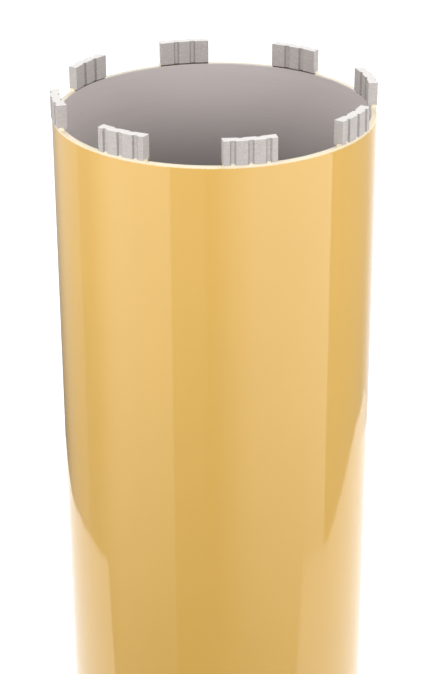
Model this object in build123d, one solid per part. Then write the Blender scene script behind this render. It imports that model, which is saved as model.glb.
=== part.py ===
"""Diamond core bit: a steel barrel with a crown of wave-shaped diamond segments.

The bit stands crown upwards on the end face of its threaded hub.
Millimetres, +Z up, origin at the centre of the hub's end face, axis of rotation on Z.
"""

from build123d import *
import os
from math import asin, cos, degrees, radians, tan

# Barrel: a plain steel tube, faced square at both ends.
barrel_diameter = 151.0
barrel_wall = 3.0
barrel_length = 438.0
barrel_edge_break = 0.4

# Crown: sintered segments, each on a foot as thick as the wall that is welded to the rim.
segment_count = 8
segment_length = 24.0
segment_height = 12.0
segment_foot_height = 0.9
overhang_outside = 0.5
overhang_inside = 0.9
segment_corner_radius = 0.4

# Wave profile: upright grooves with sloping flanks, each one opposite a land of the other face.
outside_groove_count = 3
groove_depth = 0.75
groove_mouth = 2.8
groove_floor = 1.4

# Back plate: a turned disc whose flange carries the tube and whose spigot centres it.
flange_thickness = 6.0
flange_edge_bevel = 2.0
spigot_height = 4.0
spigot_clearance = 0.15
spigot_lead_in = 0.8
hub_weld_leg = 4.0

# Hub: turned from hexagon bar, bored for a 1 1/4 in - 7 UNC inside thread.
hub_across_flats = 41.0
hexagon_height = 22.0
hexagon_face_margin = 0.5
hexagon_chamfer_angle = 30.0
neck_diameter = 40.0
neck_height = 6.0
hub_spigot_diameter = 36.0
hub_spigot_clearance = 0.1
thread_minor_diameter = 28.2
thread_major_diameter = 31.75
thread_entry_margin = 0.6
thread_exit_bevel = 1.0

# Levels along the axis, from the hub's end face upwards.
plate_bottom = hexagon_height + neck_height
rear_rim = plate_bottom + flange_thickness
plate_top = rear_rim + spigot_height
front_rim = rear_rim + barrel_length

# Radii that several pieces share.
barrel_outside = barrel_diameter / 2
barrel_inside = barrel_outside - barrel_wall
crown_outside = barrel_outside + overhang_outside
crown_inside = barrel_inside - overhang_inside
neck_radius = neck_diameter / 2
hub_spigot_radius = hub_spigot_diameter / 2
thread_radius = thread_minor_diameter / 2


def turned(*points):
    """A solid of revolution about Z, from (radius, height) points."""
    return revolve(Plane.XZ * make_face(Polyline(*points, close=True)), Axis.Z)


def barrel_tube():
    """The tube between its two rims, with all four edges broken."""
    tube = turned(
        (barrel_inside, rear_rim),
        (barrel_outside, rear_rim),
        (barrel_outside, front_rim),
        (barrel_inside, front_rim),
    )
    return chamfer(tube.edges().filter_by(GeomType.CIRCLE), barrel_edge_break)


def ring_stretch(inner_radius, outer_radius):
    """A stretch of a ring about the axis, on the -Y side, with its two ends parallel."""
    ring = Circle(outer_radius) - Circle(inner_radius)
    return ring & Rectangle(segment_length, 2 * outer_radius, align=(Align.CENTER, Align.MAX))


def groove(along, face_radius, inward):
    """A groove's section: along is its place on the segment, inward is +1 outside and -1 inside."""
    floor_y = -face_radius + inward * groove_depth
    open_y = -face_radius - inward * groove_depth
    open_half = groove_mouth - groove_floor / 2
    section = Polygon(
        (-groove_floor / 2, floor_y),
        (groove_floor / 2, floor_y),
        (open_half, open_y),
        (-open_half, open_y),
        align=None,
    )
    return Rot(0, 0, degrees(asin(along / face_radius))) * section


def wave_section():
    """The segment seen from above: grooves outside and inside take turns along its length."""
    section = ring_stretch(crown_inside, crown_outside)
    half_wave = segment_length / (2 * outside_groove_count)
    for step in range(1, 2 * outside_groove_count):
        along = step * half_wave - segment_length / 2
        if step % 2:
            section -= groove(along, crown_outside, 1)
        else:
            section -= groove(along, crown_inside, -1)
    ends = section.vertices().group_by(Axis.X)
    return fillet(ends[0] + ends[-1], segment_corner_radius)


def diamond_segment():
    """One segment on the -Y side: the plain foot on the rim, and the wave above it."""
    foot = extrude(ring_stretch(barrel_inside, barrel_outside), segment_foot_height)
    wave = extrude(wave_section(), segment_height - segment_foot_height)
    return Pos(0, 0, front_rim) * (foot + Pos(0, 0, segment_foot_height) * wave)


def back_plate():
    """The disc that closes the barrel, with the fillet weld that holds the hub's neck."""
    hole_radius = hub_spigot_radius + hub_spigot_clearance
    spigot_radius = barrel_inside - spigot_clearance
    return turned(
        (hole_radius, plate_bottom),
        (neck_radius, plate_bottom),
        (neck_radius, plate_bottom - hub_weld_leg),
        (neck_radius + hub_weld_leg, plate_bottom),
        (barrel_outside - flange_edge_bevel, plate_bottom),
        (barrel_outside, plate_bottom + flange_edge_bevel),
        (barrel_outside, rear_rim - barrel_edge_break),
        (barrel_outside - barrel_edge_break, rear_rim),
        (spigot_radius, rear_rim),
        (spigot_radius, plate_top - spigot_lead_in),
        (spigot_radius - spigot_lead_in, plate_top),
        (hole_radius, plate_top),
    )


def hexagon_bar():
    """The hexagon for the spanner, with the corners of both end faces turned off."""
    flat_radius = hub_across_flats / 2
    face_radius = flat_radius - hexagon_face_margin
    corner_radius = flat_radius / cos(radians(30))
    slope = (corner_radius - face_radius) * tan(radians(hexagon_chamfer_angle))
    bar = extrude(RegularPolygon(flat_radius, 6, major_radius=False), hexagon_height)
    return bar & turned(
        (0, 0),
        (face_radius, 0),
        (corner_radius, slope),
        (corner_radius, hexagon_height - slope),
        (face_radius, hexagon_height),
        (0, hexagon_height),
    )


def threaded_hub():
    """The hexagon, the neck that seats on the plate, the spigot in its hole, and the bore."""
    neck_and_spigot = turned(
        (0, hexagon_height),
        (neck_radius, hexagon_height),
        (neck_radius, plate_bottom),
        (hub_spigot_radius, plate_bottom),
        (hub_spigot_radius, plate_top),
        (0, plate_top),
    )
    entry_radius = thread_major_diameter / 2 + thread_entry_margin
    bore = turned(
        (0, 0),
        (entry_radius, 0),
        (thread_radius, entry_radius - thread_radius),
        (thread_radius, plate_top - thread_exit_bevel),
        (thread_radius + thread_exit_bevel, plate_top),
        (0, plate_top),
    )
    return hexagon_bar() + neck_and_spigot - bore


os.makedirs("parts", exist_ok=True)
export_step(barrel_tube(), "parts/barrel_tube.step")
for number in range(segment_count):
    turn = Rot(0, 0, 360 / segment_count * number)
    export_step(turn * diamond_segment(), f"parts/diamond_segment_{number + 1}.step")
export_step(back_plate(), "parts/back_plate.step")
export_step(threaded_hub(), "parts/threaded_hub.step")
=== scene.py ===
import math

import bmesh
import bpy
from mathutils import Matrix, Vector


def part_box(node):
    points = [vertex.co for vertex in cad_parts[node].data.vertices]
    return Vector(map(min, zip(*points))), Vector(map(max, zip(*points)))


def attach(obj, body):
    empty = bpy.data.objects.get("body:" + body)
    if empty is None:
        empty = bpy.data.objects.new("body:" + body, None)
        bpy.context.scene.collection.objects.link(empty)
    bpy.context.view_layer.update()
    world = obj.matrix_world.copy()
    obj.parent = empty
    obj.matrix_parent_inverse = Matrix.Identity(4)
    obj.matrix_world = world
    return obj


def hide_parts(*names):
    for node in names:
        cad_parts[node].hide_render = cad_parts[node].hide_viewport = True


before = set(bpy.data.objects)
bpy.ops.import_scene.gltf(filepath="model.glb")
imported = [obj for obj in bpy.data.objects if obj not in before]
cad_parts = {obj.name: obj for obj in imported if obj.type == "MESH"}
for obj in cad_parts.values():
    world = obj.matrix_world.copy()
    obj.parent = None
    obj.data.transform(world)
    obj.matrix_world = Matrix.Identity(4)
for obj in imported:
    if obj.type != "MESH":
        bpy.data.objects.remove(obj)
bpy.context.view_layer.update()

# ---------------------------------------------------------------------------------------------
# Barrel tube. A plain steel tube, faced square at both ends. Its outside and its front rim are
# sprayed with a golden lacquer, which draws back from the sharp edges and leaves them rounded.
# The inside stays bare: grey rolled steel, with faint marks running round it.

tube_low, tube_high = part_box("barrel_tube")
barrel_outside = tube_high.x
barrel_wall = 0.0030
barrel_inside = barrel_outside - barrel_wall
rear_rim = tube_low.z
front_rim = tube_high.z
rim_round_outside = 0.0009
rim_round_inside = 0.0004
rear_edge_break = 0.0004
wall_middle = barrel_inside + barrel_wall / 2
barrel_middle = (rear_rim + front_rim) / 2
steps_round = 288
merge_distance = 1e-6
hair = 2e-5

lacquer_gold = (0.655, 0.398, 0.090)
# Painted highlight on the rim: the lacquer is painted this pale colour from the first height up
# to the second and above.
lacquer_painted_highlight = (0.78, 0.68, 0.49)
highlight_starts_from = front_rim - 0.00090
highlight_full_from = front_rim - 0.00030
rolled_steel_grey = (0.665, 0.612, 0.595)
rolled_steel_dark = (0.595, 0.542, 0.525)
# Painted shade inside the tube: the steel is painted darker deeper in, down to this share of its
# value.
painted_shade_darkest_from = front_rim - 0.075
painted_shade_lightest_from = front_rim - 0.010
darkest_painted_shade = 0.66


def begin():
    """Leave nothing selected, because an operator acts on all that is."""
    if bpy.context.object and bpy.context.object.mode != "OBJECT":
        bpy.ops.object.mode_set(mode="OBJECT")
    bpy.ops.object.select_all(action="DESELECT")


def work_on(piece):
    """Leave edit mode with this piece alone selected and active."""
    begin()
    piece.select_set(True)
    bpy.context.view_layer.objects.active = piece


def take_primitive(name, size):
    """Name the primitive just added, give it its size, and put its place into its mesh."""
    piece = bpy.context.object
    piece.name = name
    piece.data.name = name
    piece.scale = size
    bpy.ops.object.transform_apply(location=True, rotation=True, scale=True)
    bpy.ops.object.mode_set(mode="EDIT")
    return piece


def pick(piece, kind, test):
    """In edit mode, select only the verts, edges or faces whose every corner passes the test."""
    modes = {"verts": "VERT", "edges": "EDGE", "faces": "FACE"}
    bpy.ops.mesh.select_mode(type=modes[kind])
    bpy.ops.mesh.select_all(action="DESELECT")
    mesh = bmesh.from_edit_mesh(piece.data)
    for item in getattr(mesh, kind):
        corners = [item] if kind == "verts" else item.verts
        item.select_set(all(test(corner.co) for corner in corners))
    bmesh.update_edit_mesh(piece.data)


def give_material(piece, material, test=None):
    """Add a material to the piece, for the faces that pass the test, or for all of them."""
    piece.data.materials.append(material)
    if test:
        piece.active_material_index = len(piece.data.materials) - 1
        pick(piece, "faces", test)
        bpy.ops.object.material_slot_assign()


def close_up(piece):
    """Merge doubles and turn every face outwards."""
    bpy.ops.mesh.select_all(action="SELECT")
    bpy.ops.mesh.remove_doubles(threshold=merge_distance)
    bpy.ops.mesh.normals_make_consistent(inside=False)


def shade(piece, smooth_angle=30):
    """Leave edit mode and shade smooth, up to that angle between faces."""
    work_on(piece)
    bpy.ops.object.shade_smooth_by_angle(angle=math.radians(smooth_angle))


def keep_flat(piece):
    """Let large faces shade flat right up to the rounded edges beside them."""
    weighted = piece.modifiers.new("weighted", "WEIGHTED_NORMAL")
    weighted.keep_sharp = True
    weighted.weight = 100
    bpy.ops.object.modifier_apply(modifier=weighted.name)


def radius_of(point):
    """Distance from the bit's axis."""
    return math.hypot(point.x, point.y)


def add_node(tree, kind, settings=None, inputs=None):
    """Add a node. An input given as a socket is linked, and anything else is its value."""
    node = tree.nodes.new(kind)
    for name, value in (settings or {}).items():
        setattr(node, name, value)
    for name, value in (inputs or {}).items():
        if isinstance(value, bpy.types.NodeSocket):
            tree.links.new(value, node.inputs[name])
        else:
            node.inputs[name].default_value = value
    return node


def start_material(name, colour, roughness, metallic=0.0):
    """A material whose plain values are set straight on the shader."""
    material = bpy.data.materials.new(name)
    material.use_nodes = True
    shader = material.node_tree.nodes["Principled BSDF"]
    shader.inputs["Base Color"].default_value = (*colour, 1)
    shader.inputs["Roughness"].default_value = roughness
    shader.inputs["Metallic"].default_value = metallic
    return material, material.node_tree, shader


def start_group(name, sockets):
    """A node group with float, vector or colour sockets, given as (name, in or out, kind)."""
    group = bpy.data.node_groups.new(name, "ShaderNodeTree")
    for socket_name, side, kind in sockets:
        group.interface.new_socket(socket_name, in_out=side, socket_type=f"NodeSocket{kind}")
    start = group.nodes.new("NodeGroupInput").outputs
    end = group.nodes.new("NodeGroupOutput").inputs
    return group, start, end


def place_group(tree, group, inputs):
    """Put a node group into a material with its own values."""
    return add_node(tree, "ShaderNodeGroup", {"node_tree": group}, inputs).outputs


def object_place(tree):
    """The place on the piece, in metres."""
    return tree.nodes.new("ShaderNodeTexCoord").outputs["Object"]


# Cloudy drift: a slow, faint change of a value over the surface.
drift_group, drift_in, drift_out = start_group(
    "cloudy drift",
    [
        ("Place", "INPUT", "Vector"),
        ("Patches per metre", "INPUT", "Float"),
        ("Lowest", "INPUT", "Float"),
        ("Highest", "INPUT", "Float"),
        ("Value", "OUTPUT", "Float"),
    ],
)
drift_noise = add_node(
    drift_group,
    "ShaderNodeTexNoise",
    inputs={
        "Vector": drift_in["Place"],
        "Scale": drift_in["Patches per metre"],
        "Detail": 3.0,
        "Roughness": 0.55,
    },
)
drift_range = add_node(
    drift_group,
    "ShaderNodeMapRange",
    inputs={
        "Value": drift_noise.outputs["Fac"],
        "From Min": 0.3,
        "From Max": 0.7,
        "To Min": drift_in["Lowest"],
        "To Max": drift_in["Highest"],
    },
)
drift_group.links.new(drift_range.outputs["Result"], drift_out["Value"])

# Marks round the axis: fine lines that run round the bit, as rolling, turning and grinding
# leave them. The lines are close together along the axis and long round it.
marks_group, marks_in, marks_out = start_group(
    "marks round the axis",
    [
        ("Place", "INPUT", "Vector"),
        ("Lines per metre", "INPUT", "Float"),
        ("Lengths per metre", "INPUT", "Float"),
        ("Value", "OUTPUT", "Float"),
    ],
)
marks_stretch = add_node(
    marks_group,
    "ShaderNodeCombineXYZ",
    inputs={
        "X": marks_in["Lengths per metre"],
        "Y": marks_in["Lengths per metre"],
        "Z": marks_in["Lines per metre"],
    },
)
marks_place = add_node(
    marks_group,
    "ShaderNodeVectorMath",
    {"operation": "MULTIPLY"},
    {0: marks_in["Place"], 1: marks_stretch.outputs["Vector"]},
)
marks_noise = add_node(
    marks_group,
    "ShaderNodeTexNoise",
    inputs={"Vector": marks_place.outputs["Vector"], "Scale": 1.0, "Detail": 4.0},
)
marks_group.links.new(marks_noise.outputs["Fac"], marks_out["Value"])

# Lacquer: a golden coat under clear gloss, with a faint orange peel. On the rim, and on all that
# stands above it, the colour is painted pale: a painted highlight of the light from above.
lacquer, lacquer_tree, lacquer_shader = start_material("lacquer", lacquer_gold, 0.42)
lacquer_shader.inputs["Specular IOR Level"].default_value = 0.15
lacquer_shader.inputs["Coat Weight"].default_value = 1.0
lacquer_shader.inputs["Coat Roughness"].default_value = 0.06
lacquer_shader.inputs["Coat IOR"].default_value = 1.5
lacquer_place = object_place(lacquer_tree)
lacquer_drift = place_group(
    lacquer_tree,
    drift_group,
    {"Place": lacquer_place, "Patches per metre": 14.0, "Lowest": 0.985, "Highest": 1.015},
)
lacquer_height = add_node(lacquer_tree, "ShaderNodeSeparateXYZ", inputs={"Vector": lacquer_place})
lacquer_ragged = place_group(
    lacquer_tree,
    drift_group,
    {"Place": lacquer_place, "Patches per metre": 900.0, "Lowest": -0.00012, "Highest": 0.00012},
)
lacquer_level = add_node(
    lacquer_tree,
    "ShaderNodeMath",
    {"operation": "ADD"},
    {0: lacquer_height.outputs["Z"], 1: lacquer_ragged["Value"]},
)
# Painted highlight: the lacquer pales towards the rim, with a ragged edge.
lacquer_rim_highlight = add_node(
    lacquer_tree,
    "ShaderNodeMapRange",
    {"interpolation_type": "SMOOTHSTEP"},
    {
        "Value": lacquer_level.outputs["Value"],
        "From Min": highlight_starts_from,
        "From Max": highlight_full_from,
    },
)
lacquer_colour = add_node(
    lacquer_tree,
    "ShaderNodeMix",
    {"data_type": "RGBA"},
    {
        "Factor": lacquer_rim_highlight.outputs["Result"],
        "A": (*lacquer_gold, 1),
        "B": (*lacquer_painted_highlight, 1),
    },
)
lacquer_shift = add_node(
    lacquer_tree,
    "ShaderNodeHueSaturation",
    inputs={"Color": lacquer_colour.outputs["Result"], "Value": lacquer_drift["Value"]},
)
lacquer_peel = add_node(
    lacquer_tree,
    "ShaderNodeTexNoise",
    inputs={"Vector": lacquer_place, "Scale": 450.0, "Detail": 2.0, "Roughness": 0.4},
)
lacquer_bump = add_node(
    lacquer_tree,
    "ShaderNodeBump",
    inputs={"Height": lacquer_peel.outputs["Fac"], "Distance": 0.000006, "Strength": 1.0},
)
lacquer_tree.links.new(lacquer_shift.outputs["Color"], lacquer_shader.inputs["Base Color"])
lacquer_tree.links.new(lacquer_bump.outputs["Normal"], lacquer_shader.inputs["Normal"])
lacquer_tree.links.new(lacquer_bump.outputs["Normal"], lacquer_shader.inputs["Coat Normal"])

# Rolled steel: the bare inside of the tube, painted darker further in from the crown as painted
# shade.
rolled_steel, rolled_tree, rolled_shader = start_material(
    "rolled steel", rolled_steel_grey, 0.5, 0.3
)
rolled_place = object_place(rolled_tree)
rolled_marks = place_group(
    rolled_tree,
    marks_group,
    {"Place": rolled_place, "Lines per metre": 1500.0, "Lengths per metre": 14.0},
)
rolled_colour = add_node(
    rolled_tree,
    "ShaderNodeMix",
    {"data_type": "RGBA"},
    {
        "Factor": rolled_marks["Value"],
        "A": (*rolled_steel_dark, 1),
        "B": (*rolled_steel_grey, 1),
    },
)
rolled_gloss = place_group(
    rolled_tree,
    drift_group,
    {"Place": rolled_place, "Patches per metre": 60.0, "Lowest": 0.46, "Highest": 0.56},
)
rolled_bump = add_node(
    rolled_tree,
    "ShaderNodeBump",
    inputs={"Height": rolled_marks["Value"], "Distance": 0.000008, "Strength": 1.0},
)
rolled_height = add_node(rolled_tree, "ShaderNodeSeparateXYZ", inputs={"Vector": rolled_place})
# Painted shade: darker further in from the crown.
rolled_painted_shade = add_node(
    rolled_tree,
    "ShaderNodeMapRange",
    {"interpolation_type": "SMOOTHSTEP"},
    {
        "Value": rolled_height.outputs["Z"],
        "From Min": painted_shade_darkest_from,
        "From Max": painted_shade_lightest_from,
        "To Min": darkest_painted_shade,
        "To Max": 1.0,
    },
)
rolled_shaded = add_node(
    rolled_tree,
    "ShaderNodeHueSaturation",
    inputs={"Color": rolled_colour.outputs["Result"], "Value": rolled_painted_shade.outputs["Result"]},
)
rolled_tree.links.new(rolled_shaded.outputs["Color"], rolled_shader.inputs["Base Color"])
rolled_tree.links.new(rolled_gloss["Value"], rolled_shader.inputs["Roughness"])
rolled_tree.links.new(rolled_bump.outputs["Normal"], rolled_shader.inputs["Normal"])

begin()
bpy.ops.mesh.primitive_plane_add(
    size=1,
    location=(wall_middle, 0, barrel_middle),
    rotation=(math.radians(90), 0, 0),
)
barrel = take_primitive("barrel", (barrel_wall, front_rim - rear_rim, 1))
for outer, upper, width, segments in (
    (True, True, rim_round_outside, 6),
    (False, True, rim_round_inside, 4),
    (True, False, rear_edge_break, 1),
    (False, False, rear_edge_break, 1),
):
    pick(
        barrel,
        "verts",
        lambda p: (p.x > wall_middle) == outer and (p.z > barrel_middle) == upper,
    )
    bpy.ops.mesh.bevel(offset=width, segments=segments, affect="VERTICES", profile=0.5)
bpy.ops.mesh.select_all(action="SELECT")
bpy.ops.mesh.delete(type="ONLY_FACE")
bpy.ops.mesh.select_all(action="SELECT")
bpy.ops.mesh.spin(steps=steps_round, angle=2 * math.pi, center=(0, 0, 0), axis=(0, 0, 1))
close_up(barrel)
give_material(barrel, lacquer)
give_material(
    barrel, rolled_steel, lambda p: radius_of(p) < barrel_inside + rim_round_inside + hair
)
shade(barrel)
keep_flat(barrel)
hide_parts("barrel_tube")
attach(barrel, "root")

# ---------------------------------------------------------------------------------------------
# Diamond segments. Eight sintered metal blocks full of fine diamond, each on a plain steel foot
# as thick as the tube's wall. They are pressed with upright grooves that take turns outside and
# inside, which gives the wave profile, and their feet are welded to the rim before spraying.

segment_low, segment_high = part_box("diamond_segment_1")
segment_count = 8
segment_length = segment_high.x - segment_low.x
segment_top = segment_high.z
foot_height = 0.0009
overhang_outside = 0.0005
overhang_inside = 0.0009
crown_outside = barrel_outside + overhang_outside
crown_inside = barrel_inside - overhang_inside
crown_middle = (crown_outside + crown_inside) / 2
half_crown = (crown_outside - crown_inside) / 2
blank_allowance = 0.0024
blank_length = segment_length + blank_allowance
groove_depth = 0.00075
groove_mouth = 0.0028
groove_floor = 0.0014
groove_count = 5
painted_ledge = 0.00085
edge_round = 0.00022
height_cuts = 8
sinter_grey = (0.52, 0.482, 0.462)
sinter_dark = (0.40, 0.365, 0.35)
diamond_speck = (0.66, 0.64, 0.60)
# Painted highlight on the top face of the segments:
top_painted_highlight = (0.74, 0.715, 0.695)
top_highlight_depth = 0.00022
full_top_highlight_depth = 0.00004
# Painted shade on the groove flanks:
flank_shade = 0.76
flank_facing = 0.70
flank_spread = 0.22
grit_edge = 0.24
grit_heart = 0.16
# Painted shade under the inner lands, and the straw of the weld's heat tint:
tint_and_painted_shade = (0.10, 0.085, 0.09)
heat_tint_straw = (0.26, 0.20, 0.14)


def cut_through(place, normal, drop_beyond=False):
    """Cut the whole piece along a plane. What lies beyond it can be dropped and closed."""
    bpy.ops.mesh.select_all(action="SELECT")
    bpy.ops.mesh.bisect(
        plane_co=place,
        plane_no=normal,
        use_fill=drop_beyond,
        clear_outer=drop_beyond,
        threshold=merge_distance,
    )


def bend_to_crown(piece, length):
    """Bend a straight piece that lies along X round the axis, at the middle of the crown."""
    work_on(piece)
    bend = piece.modifiers.new("bend", "SIMPLE_DEFORM")
    bend.deform_method = "BEND"
    bend.deform_axis = "Z"
    bend.angle = length / crown_middle
    bpy.ops.object.modifier_apply(modifier=bend.name)
    bpy.ops.object.mode_set(mode="EDIT")
    bpy.ops.mesh.select_all(action="SELECT")
    bpy.ops.transform.translate(value=(0, -crown_middle, 0))


def round_edges(piece, width, segments):
    """Round every edge that is sharper than 30 degrees."""
    shade(piece)
    rounding = piece.modifiers.new("rounding", "BEVEL")
    rounding.width = width
    rounding.segments = segments
    rounding.limit_method = "ANGLE"
    rounding.angle_limit = math.radians(30)
    bpy.ops.object.modifier_apply(modifier=rounding.name)


def copy_round(piece, name, number):
    """A copy of the piece with its own mesh, turned round the axis to its place."""
    begin()
    twin = piece.copy()
    twin.data = piece.data.copy()
    twin.name = f"{name}_{number + 1}"
    twin.data.name = twin.name
    bpy.context.collection.objects.link(twin)
    twin.data.transform(Matrix.Rotation(2 * math.pi / segment_count * number, 4, "Z"))
    return twin


# Sintered metal: matt grey, speckled with pores and diamond grit, with a painted highlight on the
# top face and painted shade on the groove flanks.
sinter, sinter_tree, sinter_shader = start_material("sintered metal", sinter_grey, 0.62, 0.25)
sinter_place = object_place(sinter_tree)
sinter_grain = add_node(
    sinter_tree,
    "ShaderNodeTexNoise",
    inputs={"Vector": sinter_place, "Scale": 2600.0, "Detail": 4.0, "Roughness": 0.7},
)
sinter_marks = place_group(
    sinter_tree,
    marks_group,
    {"Place": sinter_place, "Lines per metre": 3500.0, "Lengths per metre": 160.0},
)
sinter_mixed = add_node(
    sinter_tree,
    "ShaderNodeMix",
    {"data_type": "FLOAT"},
    {"Factor": 0.35, "A": sinter_grain.outputs["Fac"], "B": sinter_marks["Value"]},
)
sinter_spread = add_node(
    sinter_tree,
    "ShaderNodeMapRange",
    inputs={"Value": sinter_mixed.outputs["Result"], "From Min": 0.36, "From Max": 0.6},
)
sinter_colour = add_node(
    sinter_tree,
    "ShaderNodeMix",
    {"data_type": "RGBA"},
    {
        "Factor": sinter_spread.outputs["Result"],
        "A": (*sinter_dark, 1),
        "B": (*sinter_grey, 1),
    },
)
sinter_cells = add_node(
    sinter_tree,
    "ShaderNodeTexVoronoi",
    inputs={"Vector": sinter_place, "Scale": 1100.0},
)
sinter_grit = add_node(
    sinter_tree,
    "ShaderNodeMapRange",
    {"interpolation_type": "SMOOTHSTEP"},
    {
        "Value": sinter_cells.outputs["Distance"],
        "From Min": grit_edge,
        "From Max": grit_heart,
    },
)
sinter_with_grit = add_node(
    sinter_tree,
    "ShaderNodeMix",
    {"data_type": "RGBA"},
    {
        "Factor": sinter_grit.outputs["Result"],
        "A": sinter_colour.outputs["Result"],
        "B": (*diamond_speck, 1),
    },
)
# The top face is painted bright, a painted highlight of the light from above. The flanks of the
# grooves are painted darker, as painted shade: they are the faces that look neither out from the
# axis nor along the crown.
sinter_height = add_node(sinter_tree, "ShaderNodeSeparateXYZ", inputs={"Vector": sinter_place})
sinter_top_highlight = add_node(
    sinter_tree,
    "ShaderNodeMapRange",
    {"interpolation_type": "SMOOTHSTEP"},
    {
        "Value": sinter_height.outputs["Z"],
        "From Min": segment_top - top_highlight_depth,
        "From Max": segment_top - full_top_highlight_depth,
    },
)
sinter_level_place = add_node(
    sinter_tree,
    "ShaderNodeVectorMath",
    {"operation": "MULTIPLY"},
    {0: sinter_place, 1: (1, 1, 0)},
)
sinter_outwards = add_node(
    sinter_tree,
    "ShaderNodeVectorMath",
    {"operation": "NORMALIZE"},
    {0: sinter_level_place.outputs["Vector"]},
)
sinter_facing = sinter_tree.nodes.new("ShaderNodeNewGeometry")
sinter_straight_out = add_node(
    sinter_tree,
    "ShaderNodeVectorMath",
    {"operation": "DOT_PRODUCT"},
    {0: sinter_outwards.outputs["Vector"], 1: sinter_facing.outputs["True Normal"]},
)
sinter_either_way = add_node(
    sinter_tree,
    "ShaderNodeMath",
    {"operation": "ABSOLUTE"},
    {0: sinter_straight_out.outputs["Value"]},
)
sinter_flank = add_node(
    sinter_tree,
    "ShaderNodeMath",
    {"operation": "COMPARE"},
    {0: sinter_either_way.outputs["Value"], 1: flank_facing, 2: flank_spread},
)
sinter_flank_shade = add_node(
    sinter_tree,
    "ShaderNodeMapRange",
    inputs={"Value": sinter_flank.outputs["Value"], "To Min": 1.0, "To Max": flank_shade},
)
sinter_shaded = add_node(
    sinter_tree,
    "ShaderNodeHueSaturation",
    inputs={
        "Color": sinter_with_grit.outputs["Result"],
        "Value": sinter_flank_shade.outputs["Result"],
    },
)
sinter_all = add_node(
    sinter_tree,
    "ShaderNodeMix",
    {"data_type": "RGBA"},
    {
        "Factor": sinter_top_highlight.outputs["Result"],
        "A": sinter_shaded.outputs["Color"],
        "B": (*top_painted_highlight, 1),
    },
)
sinter_relief = add_node(
    sinter_tree,
    "ShaderNodeMath",
    {"operation": "MULTIPLY_ADD"},
    {0: sinter_grit.outputs["Result"], 1: 0.5, 2: sinter_mixed.outputs["Result"]},
)
sinter_bump = add_node(
    sinter_tree,
    "ShaderNodeBump",
    inputs={"Height": sinter_relief.outputs["Value"], "Distance": 0.00005, "Strength": 1.0},
)
sinter_tree.links.new(sinter_all.outputs["Result"], sinter_shader.inputs["Base Color"])
sinter_tree.links.new(sinter_bump.outputs["Normal"], sinter_shader.inputs["Normal"])

# Heat-tinted steel with painted shade: the bare inner side of the feet, painted near black as
# painted shade under the overhang of the inner lands, with straw patches of heat tint from the
# weld.
tinted_shaded_steel, tinted_tree, tinted_shader = start_material(
    "heat tint and painted shade", tint_and_painted_shade, 0.55, 0.6
)
tinted_patches = place_group(
    tinted_tree,
    drift_group,
    {
        "Place": object_place(tinted_tree),
        "Patches per metre": 500.0,
        "Lowest": 0.0,
        "Highest": 0.7,
    },
)
tinted_colour = add_node(
    tinted_tree,
    "ShaderNodeMix",
    {"data_type": "RGBA"},
    {
        "Factor": tinted_patches["Value"],
        "A": (*tint_and_painted_shade, 1),
        "B": (*heat_tint_straw, 1),
    },
)
tinted_tree.links.new(tinted_colour.outputs["Result"], tinted_shader.inputs["Base Color"])

begin()
bpy.ops.mesh.primitive_cube_add(size=1, location=(0, 0, (front_rim + segment_top) / 2))
first_segment = take_primitive(
    "segment", (blank_length, 2 * half_crown, segment_top - front_rim)
)
wave_bottom = front_rim + foot_height
for step in range(1, groove_count + 1):
    along = segment_length * (step / (groove_count + 1) - 0.5)
    outside = step % 2 == 1
    face_radius = crown_outside if outside else crown_inside
    middle = crown_middle * math.asin(along / face_radius)
    half_mouth = groove_mouth / 2 * crown_middle / face_radius
    half_floor = groove_floor / 2 * crown_middle / face_radius
    for offset in (-half_mouth, -half_floor, half_floor, half_mouth):
        cut_through((middle + offset, 0, 0), (1, 0, 0))
    pick(
        first_segment,
        "verts",
        lambda p: abs(p.x - middle) < half_floor + hair and (p.y < 0) == outside,
    )
    bpy.ops.transform.translate(value=(0, groove_depth if outside else -groove_depth, 0))
for level in (wave_bottom - hair, wave_bottom, wave_bottom + painted_ledge):
    cut_through((0, 0, level), (0, 0, 1))
for step in range(1, height_cuts):
    cut_through((0, 0, wave_bottom + (segment_top - wave_bottom) * step / height_cuts), (0, 0, 1))
# The foot is flush with the tube's wall on both sides.
foot_outside = crown_middle - barrel_outside
foot_inside = crown_middle - barrel_inside
pick(first_segment, "verts", lambda p: p.z < wave_bottom - hair / 2 and p.y < 0)
bpy.ops.transform.resize(value=(1, 0, 1), center_override=(0, foot_outside, 0))
pick(first_segment, "verts", lambda p: p.z < wave_bottom - hair / 2 and p.y > 0)
bpy.ops.transform.resize(value=(1, 0, 1), center_override=(0, foot_inside, 0))
# Lacquer fills the bottom of each outer groove and slopes out to the foot.
pick(
    first_segment,
    "verts",
    lambda p: p.z < wave_bottom + hair / 2 and foot_outside < p.y < 0,
)
bpy.ops.transform.resize(value=(1, 0, 1), center_override=(0, foot_outside, 0))
bend_to_crown(first_segment, blank_length)
for side in (-1, 1):
    cut_through((side * segment_length / 2, 0, 0), (side, 0, 0), drop_beyond=True)
close_up(first_segment)
first_segment.data.materials.append(sinter)
round_edges(first_segment, edge_round, 3)
bpy.ops.object.mode_set(mode="EDIT")
foot_middle = (barrel_outside + barrel_inside) / 2
give_material(
    first_segment,
    lacquer,
    lambda p: radius_of(p) > foot_middle and p.z < wave_bottom - hair / 2,
)
# The inner side of the feet gets the dark painted shade.
give_material(
    first_segment,
    tinted_shaded_steel,
    lambda p: radius_of(p) < foot_middle and p.z < wave_bottom + hair,
)
shade(first_segment)
keep_flat(first_segment)
for number in range(segment_count):
    segment = copy_round(first_segment, "segment", number)
    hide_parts(f"diamond_segment_{number + 1}")
    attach(segment, "root")
bpy.data.objects.remove(first_segment)

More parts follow.
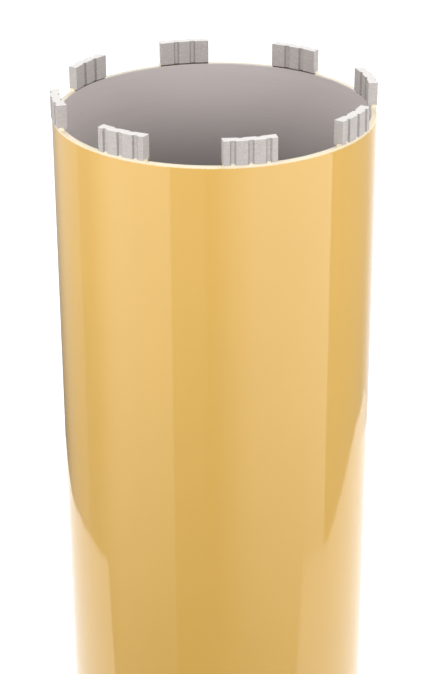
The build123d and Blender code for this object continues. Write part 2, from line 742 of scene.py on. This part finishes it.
# ---------------------------------------------------------------------------------------------
# Crown welds. A laser weld joins each foot to the rim. It fills the notch that the rounded rim
# leaves under the foot, and ends in a small hollow fillet at each end of the segment. Lacquer
# covers it outside and on top.

weld_proud = 0.00003
weld_inner_step = 0.0007
weld_depth = 0.0016
weld_reach = 0.0015
weld_climb = 0.0013
weld_steps = 5
weld_sink = 0.00012
weld_cuts = 11
weld_length = segment_length + 2 * weld_reach
weld_top = front_rim + weld_climb
weld_outside = foot_outside - weld_proud
weld_inside = foot_inside - weld_inner_step

begin()
bpy.ops.mesh.primitive_cube_add(
    size=1,
    location=(0, (weld_outside + weld_inside) / 2, (front_rim - weld_depth + weld_top) / 2),
)
first_weld = take_primitive(
    "crown_weld",
    (weld_length, weld_inside - weld_outside, weld_depth + weld_climb),
)
for step in range(weld_cuts):
    cut_through((((step + 0.5) / weld_cuts - 0.5) * segment_length, 0, 0), (1, 0, 0))
for side in (-1, 1):
    for step in range(weld_steps + 1):
        share = step / weld_steps
        reach = segment_length / 2 - hair + share * weld_reach
        if step < weld_steps:
            cut_through((side * reach, 0, 0), (1, 0, 0))
        # The fillet's hollow is a quarter of an ellipse.
        drop = (weld_climb + weld_sink) * math.sqrt(1 - (1 - share) ** 2)
        pick(
            first_weld,
            "verts",
            lambda p: abs(side * p.x - reach) < 1.5 * hair and p.z > front_rim,
        )
        bpy.ops.transform.translate(value=(0, 0, -drop))
        # It narrows too, so that it runs out on the flat of the rim and not over its rounding.
        pick(
            first_weld,
            "verts",
            lambda p: abs(side * p.x - reach) < 1.5 * hair and p.y < weld_outside + hair,
        )
        bpy.ops.transform.translate(value=(0, rim_round_outside * share**2, 0))
bend_to_crown(first_weld, weld_length)
close_up(first_weld)
first_weld.data.materials.append(lacquer)
shade(first_weld, 50)
keep_flat(first_weld)

for number in range(segment_count):
    weld = copy_round(first_weld, "crown_weld", number)
    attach(weld, "root")
bpy.data.objects.remove(first_weld)

# ---------------------------------------------------------------------------------------------
# Back plate. A turned steel disc that closes the barrel. Its flange carries the tube's rear rim
# and its spigot centres the tube. It is lacquered outside and left as turned inside.

plate_low, plate_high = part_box("back_plate")
weld_leg = 0.0040
plate_bottom = plate_low.z + weld_leg
plate_top = plate_high.z
flange_edge_bevel = 0.0020
spigot_clearance = 0.00015
spigot_lead_in = 0.0008
hub_spigot_radius = 0.0180
hub_spigot_clearance = 0.0001
hub_hole_radius = hub_spigot_radius + hub_spigot_clearance
turned_steel_grey = (0.56, 0.55, 0.54)
turned_steel_dark = (0.45, 0.44, 0.43)
small_round = 0.0003


def start_ring(name, radius, height):
    """Start a turned piece with a ring of edges at that radius and height."""
    begin()
    bpy.ops.mesh.primitive_circle_add(
        vertices=steps_round, radius=radius, location=(0, 0, height)
    )
    return take_primitive(name, (1, 1, 1))


def follow_profile(radius, height, profile):
    """Carry the picked ring on through (radius, height) points, as a lathe tool does."""
    for next_radius, next_height in profile:
        bpy.ops.mesh.extrude_edges_move(
            TRANSFORM_OT_translate={"value": (0, 0, next_height - height)}
        )
        share = next_radius / radius
        bpy.ops.transform.resize(value=(share, share, 1), center_override=(0, 0, 0))
        radius, height = next_radius, next_height


# Turned steel: bare, with the fine rings that the lathe leaves.
turned_steel, turned_tree, turned_shader = start_material(
    "turned steel", turned_steel_grey, 0.38, 0.95
)
turned_place = object_place(turned_tree)
turned_marks = place_group(
    turned_tree,
    marks_group,
    {"Place": turned_place, "Lines per metre": 2600.0, "Lengths per metre": 8.0},
)
turned_radius = add_node(
    turned_tree,
    "ShaderNodeVectorMath",
    {"operation": "MULTIPLY"},
    {0: turned_place, 1: (1.0, 1.0, 0.0)},
)
turned_distance = add_node(
    turned_tree,
    "ShaderNodeVectorMath",
    {"operation": "LENGTH"},
    {0: turned_radius.outputs["Vector"]},
)
turned_rings = add_node(
    turned_tree,
    "ShaderNodeTexNoise",
    {"noise_dimensions": "1D"},
    {"W": turned_distance.outputs["Value"], "Scale": 2600.0, "Detail": 3.0},
)
turned_both = add_node(
    turned_tree,
    "ShaderNodeMath",
    {"operation": "ADD"},
    {0: turned_rings.outputs["Fac"], 1: turned_marks["Value"]},
)
turned_half = add_node(
    turned_tree,
    "ShaderNodeMath",
    {"operation": "MULTIPLY"},
    {0: turned_both.outputs["Value"], 1: 0.5},
)
turned_colour = add_node(
    turned_tree,
    "ShaderNodeMix",
    {"data_type": "RGBA"},
    {
        "Factor": turned_half.outputs["Value"],
        "A": (*turned_steel_dark, 1),
        "B": (*turned_steel_grey, 1),
    },
)
turned_bump = add_node(
    turned_tree,
    "ShaderNodeBump",
    inputs={"Height": turned_half.outputs["Value"], "Distance": 0.00002, "Strength": 1.0},
)
turned_tree.links.new(turned_colour.outputs["Result"], turned_shader.inputs["Base Color"])
turned_tree.links.new(turned_bump.outputs["Normal"], turned_shader.inputs["Normal"])

spigot_radius = barrel_inside - spigot_clearance
plate = start_ring("back_plate_turned", hub_hole_radius, plate_bottom)
follow_profile(
    hub_hole_radius,
    plate_bottom,
    (
        (barrel_outside - flange_edge_bevel, plate_bottom),
        (barrel_outside, plate_bottom + flange_edge_bevel),
        (barrel_outside, rear_rim - rear_edge_break),
        (barrel_outside - rear_edge_break, rear_rim),
        (spigot_radius, rear_rim),
        (spigot_radius, plate_top - spigot_lead_in),
        (spigot_radius - spigot_lead_in, plate_top),
        (hub_hole_radius, plate_top),
        (hub_hole_radius, plate_bottom),
    ),
)
close_up(plate)
plate.data.materials.append(lacquer)
round_edges(plate, small_round, 2)
bpy.ops.object.mode_set(mode="EDIT")
give_material(plate, turned_steel, lambda p: p.z > rear_rim + hair)
shade(plate)
keep_flat(plate)
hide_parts("back_plate")
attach(plate, "root")

# ---------------------------------------------------------------------------------------------
# Hub weld. A fillet of overlapping beads, laid round the neck of the hub onto the plate before
# spraying. One bead is a flattened ball that leans back on the one before it.

bead_count = 64
bead_reach = 0.0033
bead_thickness = 0.0018
bead_lean = math.radians(28)
bead_voxel = 0.00028
neck_radius = 0.0200

begin()
bpy.ops.mesh.primitive_uv_sphere_add(segments=24, ring_count=16, radius=1)
first_bead = take_primitive("hub_weld", (bead_reach, bead_thickness, bead_reach))
bpy.ops.mesh.select_all(action="SELECT")
bpy.ops.transform.rotate(value=bead_lean, orient_axis="X", center_override=(0, 0, 0))
bpy.ops.transform.translate(value=(neck_radius, 0, plate_bottom))
work_on(first_bead)
for number in range(1, bead_count):
    bead = first_bead.copy()
    bead.data = first_bead.data.copy()
    bpy.context.collection.objects.link(bead)
    bead.data.transform(Matrix.Rotation(2 * math.pi / bead_count * number, 4, "Z"))
    bead.select_set(True)
bpy.ops.object.join()
hub_weld = bpy.context.object
fuse = hub_weld.modifiers.new("fuse", "REMESH")
fuse.mode = "VOXEL"
fuse.voxel_size = bead_voxel
bpy.ops.object.modifier_apply(modifier=fuse.name)
calm = hub_weld.modifiers.new("calm", "SMOOTH")
calm.iterations = 2
bpy.ops.object.modifier_apply(modifier=calm.name)
hub_weld.data.materials.clear()
hub_weld.data.materials.append(lacquer)
shade(hub_weld, 180)
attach(hub_weld, "root")

# ---------------------------------------------------------------------------------------------
# Threaded hub. Turned from hexagon bar: the hexagon takes a 41 mm spanner, the neck seats on the
# plate and the spigot centres in it. It is bored and tapped 1 1/4 in - 7 UNC, right hand.

across_flats = 0.0410
neck_height = 0.0060
hexagon_height = plate_bottom - neck_height
face_margin = 0.0005
chamfer_slope = math.tan(math.radians(30))
thread_minor = 0.0141
thread_major = 0.03175 / 2
thread_entry = 0.016475
thread_exit_bevel = 0.0010
thread_pitch = 0.0254 / 7
thread_flank = math.tan(math.radians(30))
thread_root = thread_pitch / 8
thread_turns = 13
thread_steps = 72
overcut = 0.0006
tap_start = -1.5 * thread_pitch
tap_depth = thread_major - thread_minor + overcut
tap_width = thread_root + 2 * thread_flank * tap_depth


def combine(piece, tool, operation):
    """Join, cut or intersect two solids, and drop the tool."""
    work_on(piece)
    both = piece.modifiers.new("combine", "BOOLEAN")
    both.operation = operation
    both.solver = "EXACT"
    both.object = tool
    bpy.ops.object.modifier_apply(modifier=both.name)
    bpy.data.objects.remove(tool)


def turned_solid(name, profile):
    """A turned solid from (radius, height) points, closed on the axis at both ends."""
    radius, height = profile[0]
    solid = start_ring(name, radius, height)
    bpy.ops.mesh.edge_face_add()
    pick(solid, "edges", lambda p: True)
    follow_profile(radius, height, profile[1:])
    bpy.ops.mesh.edge_face_add()
    close_up(solid)
    return solid


flat_radius = across_flats / 2
corner_radius = flat_radius / math.cos(math.radians(30))
face_radius = flat_radius - face_margin
corner_drop = (corner_radius - face_radius) * chamfer_slope
begin()
bpy.ops.mesh.primitive_cylinder_add(
    vertices=6,
    radius=corner_radius,
    depth=hexagon_height,
    location=(0, 0, hexagon_height / 2),
    rotation=(0, 0, math.radians(30)),
)
hub = take_primitive("hub", (1, 1, 1))
begin()
combine(
    hub,
    turned_solid(
        "hub_chamfers",
        (
            (face_radius, 0),
            (corner_radius + overcut, corner_drop + overcut * chamfer_slope),
            (corner_radius + overcut, hexagon_height - corner_drop - overcut * chamfer_slope),
            (face_radius, hexagon_height),
        ),
    ),
    "INTERSECT",
)
combine(
    hub,
    turned_solid(
        "hub_neck",
        (
            (neck_radius, hexagon_height - overcut),
            (neck_radius, plate_bottom),
            (hub_spigot_radius, plate_bottom),
            (hub_spigot_radius, plate_top),
        ),
    ),
    "UNION",
)
combine(
    hub,
    turned_solid(
        "hub_bore",
        (
            (thread_entry + overcut, -overcut),
            (thread_minor, thread_entry - thread_minor),
            (thread_minor, plate_top - thread_exit_bevel),
            (thread_minor + thread_exit_bevel + overcut, plate_top + overcut),
        ),
    ),
    "DIFFERENCE",
)
round_edges(hub, small_round, 2)
begin()
bpy.ops.mesh.primitive_plane_add(
    size=1,
    location=((thread_minor - overcut + thread_major) / 2, 0, tap_start),
    rotation=(math.radians(90), 0, 0),
)
tap = take_primitive("tap", (tap_depth, tap_width, 1))
pick(tap, "verts", lambda p: p.x > thread_major - hair)
bpy.ops.transform.resize(
    value=(1, 1, thread_root / tap_width), center_override=(0, 0, tap_start)
)
bpy.ops.mesh.select_all(action="SELECT")
bpy.ops.mesh.delete(type="ONLY_FACE")
work_on(tap)
wind = tap.modifiers.new("wind", "SCREW")
wind.angle = 2 * math.pi
wind.screw_offset = thread_pitch
wind.iterations = thread_turns
wind.steps = thread_steps
wind.render_steps = thread_steps
bpy.ops.object.modifier_apply(modifier=wind.name)
bpy.ops.object.mode_set(mode="EDIT")
bpy.ops.mesh.select_all(action="SELECT")
bpy.ops.mesh.fill_holes(sides=4)
close_up(tap)
combine(hub, tap, "DIFFERENCE")
bpy.ops.object.mode_set(mode="EDIT")
bpy.ops.mesh.select_all(action="SELECT")
bpy.ops.mesh.dissolve_degenerate(threshold=merge_distance)
close_up(hub)
hub.data.materials.clear()
hub.data.materials.append(turned_steel)
shade(hub)
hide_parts("threaded_hub")
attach(hub, "root")

# ---------------------------------------------------------------------------------------------
# Camera. It looks down on the crown from the front, at the height of a person at a bench.

camera_azimuth = math.radians(-11.95)
camera_distance = 0.8559
camera_above_rim = 0.2918
camera_pitch = math.radians(25.51)
camera_yaw = math.radians(-0.136)
camera_roll = math.radians(-0.326)
camera_lens = 103.19
camera_sensor = 36.0

camera = bpy.data.objects.new("camera", bpy.data.cameras.new("camera"))
bpy.context.scene.collection.objects.link(camera)
bpy.context.scene.camera = camera
camera.data.lens = camera_lens
camera.data.sensor_width = camera_sensor
outwards = Vector((math.sin(camera_azimuth), -math.cos(camera_azimuth), 0))
heading = camera_yaw - camera_azimuth
forward = Vector(
    (
        math.sin(heading) * math.cos(camera_pitch),
        math.cos(heading) * math.cos(camera_pitch),
        -math.sin(camera_pitch),
    )
)
level_right = Vector((math.cos(heading), -math.sin(heading), 0))
level_up = level_right.cross(forward)
right = level_right * math.cos(camera_roll) + level_up * math.sin(camera_roll)
up = level_up * math.cos(camera_roll) - level_right * math.sin(camera_roll)
eye = outwards * camera_distance + Vector((0, 0, front_rim + camera_above_rim))
camera.matrix_world = Matrix(
    (
        (right.x, up.x, -forward.x, eye.x),
        (right.y, up.y, -forward.y, eye.y),
        (right.z, up.z, -forward.z, eye.z),
        (0, 0, 0, 1),
    )
)

# ---------------------------------------------------------------------------------------------
# Floor and light. The bit stands on a wide pale floor under five soft lamps: two in front, one at
# each side and one behind. They show in no reflection. What the lacquer mirrors is five upright
# curved cards, the white sheet that the bit stands on, and a studio that is dark below.

floor_half = 6.0
floor_grey = 0.55
floor_glow = 0.65
shadow_reach = 0.55
far_reach = 1.6
card_radius = 0.60
card_low = -0.40
card_high = 0.55
dimmest_height = -0.15
brightest_height = 0.26
card_steps = 32
sheet_height = 0.001
sheet_strength = 1.35
studio_dark_below = -0.56
studio_light_above = -0.22
studio_strength = 0.7


def stage_material(name, colour):
    """A matt material for the floor or a card."""
    material, tree, shader = start_material(name, (colour, colour, colour), 0.9)
    shader.inputs["Specular IOR Level"].default_value = 0.0
    shader.inputs["Emission Color"].default_value = (1, 1, 1, 1)
    return material, tree, shader


# The floor's own glow, for the camera alone, turns it plain white away from the bit's shadow.
floor_paint, floor_tree, floor_shader = stage_material("floor", floor_grey)
floor_path = floor_tree.nodes.new("ShaderNodeLightPath")
floor_distance = add_node(
    floor_tree,
    "ShaderNodeVectorMath",
    {"operation": "LENGTH"},
    {0: object_place(floor_tree)},
)
floor_glow_there = add_node(
    floor_tree,
    "ShaderNodeMapRange",
    {"interpolation_type": "SMOOTHSTEP"},
    {
        "Value": floor_distance.outputs["Value"],
        "From Min": shadow_reach,
        "From Max": far_reach,
        "To Min": floor_glow,
        "To Max": 1.0,
    },
)
floor_seen = add_node(
    floor_tree,
    "ShaderNodeMath",
    {"operation": "MULTIPLY"},
    {0: floor_path.outputs["Is Camera Ray"], 1: floor_glow_there.outputs["Result"]},
)
floor_tree.links.new(floor_seen.outputs["Value"], floor_shader.inputs["Emission Strength"])

begin()
bpy.ops.mesh.primitive_plane_add(size=2 * floor_half, location=(0, 0, 0))
floor = take_primitive("floor", (1, 1, 1))
begin()
floor.data.materials.append(floor_paint)
floor.visible_glossy = False


def show_in_reflections_only(piece, glow):
    """Let only glossy surfaces see a stage piece."""
    piece.data.materials.append(glow)
    piece.visible_camera = False
    piece.visible_diffuse = False
    piece.visible_transmission = False
    piece.visible_shadow = False


def card_glow(name, fade_from, fade_to, low_glow, high_glow):
    """White that dims towards the card's foot and thins out between two bearings."""
    glow, tree, shader = stage_material(name, 0.0)
    from_camera = add_node(
        tree,
        "ShaderNodeMapping",
        inputs={
            "Vector": object_place(tree),
            "Rotation": (0, 0, -math.atan2(outwards.y, outwards.x)),
        },
    )
    apart = add_node(
        tree, "ShaderNodeSeparateXYZ", inputs={"Vector": from_camera.outputs["Vector"]}
    )
    bearing = add_node(
        tree,
        "ShaderNodeMath",
        {"operation": "ARCTAN2"},
        {0: apart.outputs["Y"], 1: apart.outputs["X"]},
    )
    cover = add_node(
        tree,
        "ShaderNodeMapRange",
        {"interpolation_type": "SMOOTHSTEP"},
        {
            "Value": bearing.outputs["Value"],
            "From Min": math.radians(fade_from),
            "From Max": math.radians(fade_to),
        },
    )
    strength = add_node(
        tree,
        "ShaderNodeMapRange",
        inputs={
            "Value": apart.outputs["Z"],
            "From Min": dimmest_height,
            "From Max": brightest_height,
            "To Min": low_glow,
            "To Max": high_glow,
        },
    )
    tree.links.new(cover.outputs["Result"], shader.inputs["Alpha"])
    tree.links.new(strength.outputs["Result"], shader.inputs["Emission Strength"])
    return glow


def stand_card(name, first, last, fade_from, fade_to, low_glow, high_glow):
    """An upright curved card between two bearings, in degrees to the right of the camera."""
    begin()
    turn = math.radians(first)
    start = outwards * math.cos(turn) + level_right * math.sin(turn)
    bpy.ops.mesh.primitive_plane_add(
        size=1,
        location=start * (card_radius + 0.5) + Vector((0, 0, (card_low + card_high) / 2)),
        rotation=(math.radians(90), 0, math.atan2(start.y, start.x)),
    )
    card = take_primitive(name, (1, card_high - card_low, 1))
    pick(card, "verts", lambda p: radius_of(p) > card_radius + 0.5)
    bpy.ops.mesh.delete(type="VERT")
    bpy.ops.mesh.select_all(action="SELECT")
    bpy.ops.mesh.spin(
        steps=card_steps,
        angle=math.radians(first - last),
        center=(0, 0, 0),
        axis=(0, 0, 1),
    )
    begin()
    show_in_reflections_only(card, card_glow(name, fade_from, fade_to, low_glow, high_glow))


stand_card("card_far_left", -150, -107, -150, -130, 0.15, 0.8)
stand_card("card_left", -98, -29.5, -98, -66, 0.40, 2.25)
stand_card("card_middle", -29.5, -6.5, -30, -29.5, 0.0, 0.8)
stand_card("card_right", -6.5, 85, -6.5, 30, 0.52, 2.35)
stand_card("card_far_right", 125, 180, 125, 155, 0.7, 1.2)

sheet_glow, _, sheet_shader = stage_material("sheet_glow", 0.0)
sheet_shader.inputs["Emission Strength"].default_value = sheet_strength
sheet_corners = (
    (-0.470, -0.034),
    (0.440, -0.210),
    (0.475, -0.124),
    (0.493, -0.021),
    (0.521, 0.058),
    (0.539, 0.155),
    (0.545, 0.260),
    (0.525, 0.367),
    (0.420, 0.540),
    (0.150, 0.640),
    (-0.200, 0.536),
    (-0.298, 0.431),
    (-0.419, 0.268),
    (-0.463, 0.143),
    (-0.472, 0.068),
)
begin()
bpy.ops.mesh.primitive_circle_add(
    vertices=len(sheet_corners), radius=1, fill_type="NGON", location=(0, 0, sheet_height)
)
sheet = take_primitive("floor_sheet", (1, 1, 1))
sheet_mesh = bmesh.from_edit_mesh(sheet.data)
for vertex, corner in zip(sheet_mesh.verts, sheet_corners):
    place = level_right * corner[0] - outwards * corner[1]
    vertex.co.x = place.x
    vertex.co.y = place.y
bmesh.update_edit_mesh(sheet.data)
begin()
show_in_reflections_only(sheet, sheet_glow)


def hang_lamp(name, bearing, distance, height, size, power):
    """A large square soft lamp, turned to the crown, that shows in no reflection."""
    lamp_data = bpy.data.lights.new(name, "AREA")
    lamp_data.shape = "SQUARE"
    lamp_data.size = size
    lamp_data.energy = power
    lamp = bpy.data.objects.new(name, lamp_data)
    bpy.context.scene.collection.objects.link(lamp)
    turn = math.radians(bearing)
    across = outwards * math.cos(turn) + level_right * math.sin(turn)
    lamp.location = across * distance + Vector((0, 0, height))
    aim = Vector((0, 0, front_rim)) - lamp.location
    lamp.rotation_euler = aim.to_track_quat("-Z", "Y").to_euler()
    lamp.visible_glossy = False
    lamp.visible_camera = False


for name, bearing, distance, height, size, power in (
    ("left_lamp", -40, 0.62, 0.70, 0.3, 2.25),
    ("right_lamp", 50, 0.75, 0.80, 0.4, 3.05),
    ("left_side_lamp", -100, 0.75, 0.50, 0.4, 1.3),
    ("right_side_lamp", 100, 0.75, 0.50, 0.4, 1.8),
    ("back_lamp", 180, 0.65, 1.00, 0.6, 3.5),
):
    hang_lamp(name, bearing, distance, height, size, power)

world = bpy.data.worlds.new("studio")
bpy.context.scene.world = world
world.use_nodes = True
background = world.node_tree.nodes["Background"]
background.inputs["Color"].default_value = (1, 1, 1, 1)
world_path = world.node_tree.nodes.new("ShaderNodeLightPath")
world_place = world.node_tree.nodes.new("ShaderNodeTexCoord")
world_height = add_node(
    world.node_tree,
    "ShaderNodeSeparateXYZ",
    inputs={"Vector": world_place.outputs["Generated"]},
)
world_around = add_node(
    world.node_tree,
    "ShaderNodeMapRange",
    inputs={
        "Value": world_height.outputs["Z"],
        "From Min": studio_dark_below,
        "From Max": studio_light_above,
        "To Min": 0.0,
        "To Max": studio_strength,
    },
)
world_strength = add_node(
    world.node_tree,
    "ShaderNodeMix",
    {"data_type": "FLOAT"},
    {
        "Factor": world_path.outputs["Is Camera Ray"],
        "A": world_around.outputs["Result"],
        "B": 1.0,
    },
)
world.node_tree.links.new(
    world_strength.outputs["Result"], background.inputs["Strength"]
)

bpy.context.scene.view_settings.view_transform = "Standard"
